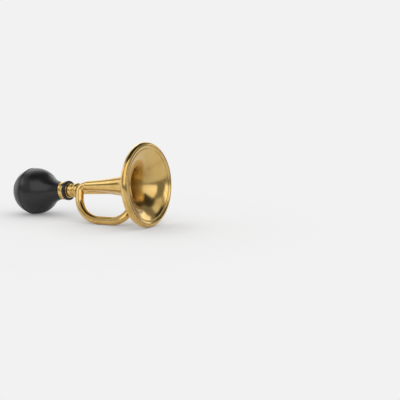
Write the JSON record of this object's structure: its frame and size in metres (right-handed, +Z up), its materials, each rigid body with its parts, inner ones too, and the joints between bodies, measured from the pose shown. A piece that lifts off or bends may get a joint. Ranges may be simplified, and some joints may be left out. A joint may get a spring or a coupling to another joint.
{
  "type": "bicycle bulb horn",
  "caption": "Polished brass bicycle horn: a wide spun bell on a tube folded back under itself, a reed socket with a coupling nut, and a round black rubber bulb.",
  "frame": {"origin": "on the table, under the middle of the horn's length and under the bell's axis, with the horn lying on the rim of its bell, its folded tube and its bulb", "axes": "+X towards the bell's mouth (the bell's axis rises 4.2 degrees towards it), +Y to the side on which the bulb's axis lies, +Z up"},
  "size_m": [0.1936, 0.09, 0.0898],
  "materials": {
    "brass": "polished, with a clear warm shine",
    "wire": "drawn steel wire",
    "solder": "soft tin solder, wiped smooth",
    "reed": "spring brass, matt",
    "black_plastic": "moulded black plastic, satin",
    "rubber": "moulded rubber, satin"
  },
  "bodies": {
    "horn": {"bell": "brass", "rim_wire": "wire", "left_bow": "brass", "right_bow": "brass", "lead_pipe": "brass", "bow_sleeve": "brass", "lead_sleeve": "brass", "solder_saddles": "solder", "end_bead": "brass", "reed_socket": "brass", "reed_block": "black_plastic", "shallot": "brass", "reed_wedge": "brass", "sealing_washer": "rubber"},
    "bulb_unit": {"bulb_stem": "brass", "bulb_ferrule": "brass", "bulb_front": "rubber"},
    "nut": {"coupling_nut": "black_plastic"},
    "bulb_back": {"bulb_rear": "rubber"},
    "tongue": {"reed_tongue": "reed"}
  },
  "joints": [
    {"name": "bulb_unscrew", "type": "slide", "parent": "horn", "child": "bulb_unit", "axis": [-0.9973, 0, -0.0738], "range_m": [0, 0.003]},
    {"name": "nut_turn", "type": "hinge", "parent": "bulb_unit", "child": "nut", "pos_m": [-0.02322, 0.01069, 0.03047], "axis": [-0.9973, 0, -0.0738], "range_deg": [0, 720]},
    {"name": "bulb_squeeze", "type": "slide", "parent": "bulb_unit", "child": "bulb_back", "axis": [0.9973, 0, 0.0738], "range_m": [0, 0.018], "stiffness_N_per_m": 400, "deforming": ["bulb_front"]},
    {"name": "tongue_beat", "type": "hinge", "parent": "horn", "child": "tongue", "pos_m": [-0.02358, 0.01138, 0.03263], "axis": [0.0222, 0.9537, -0.2999], "range_deg": [-1.9, 1.5], "stiffness_Nm_per_rad": 0.02}
  ],
  "couplings": [
    {"joint": "bulb_unscrew", "follows": "nut_turn", "m_per_rad": 0.0002387}
  ]
}
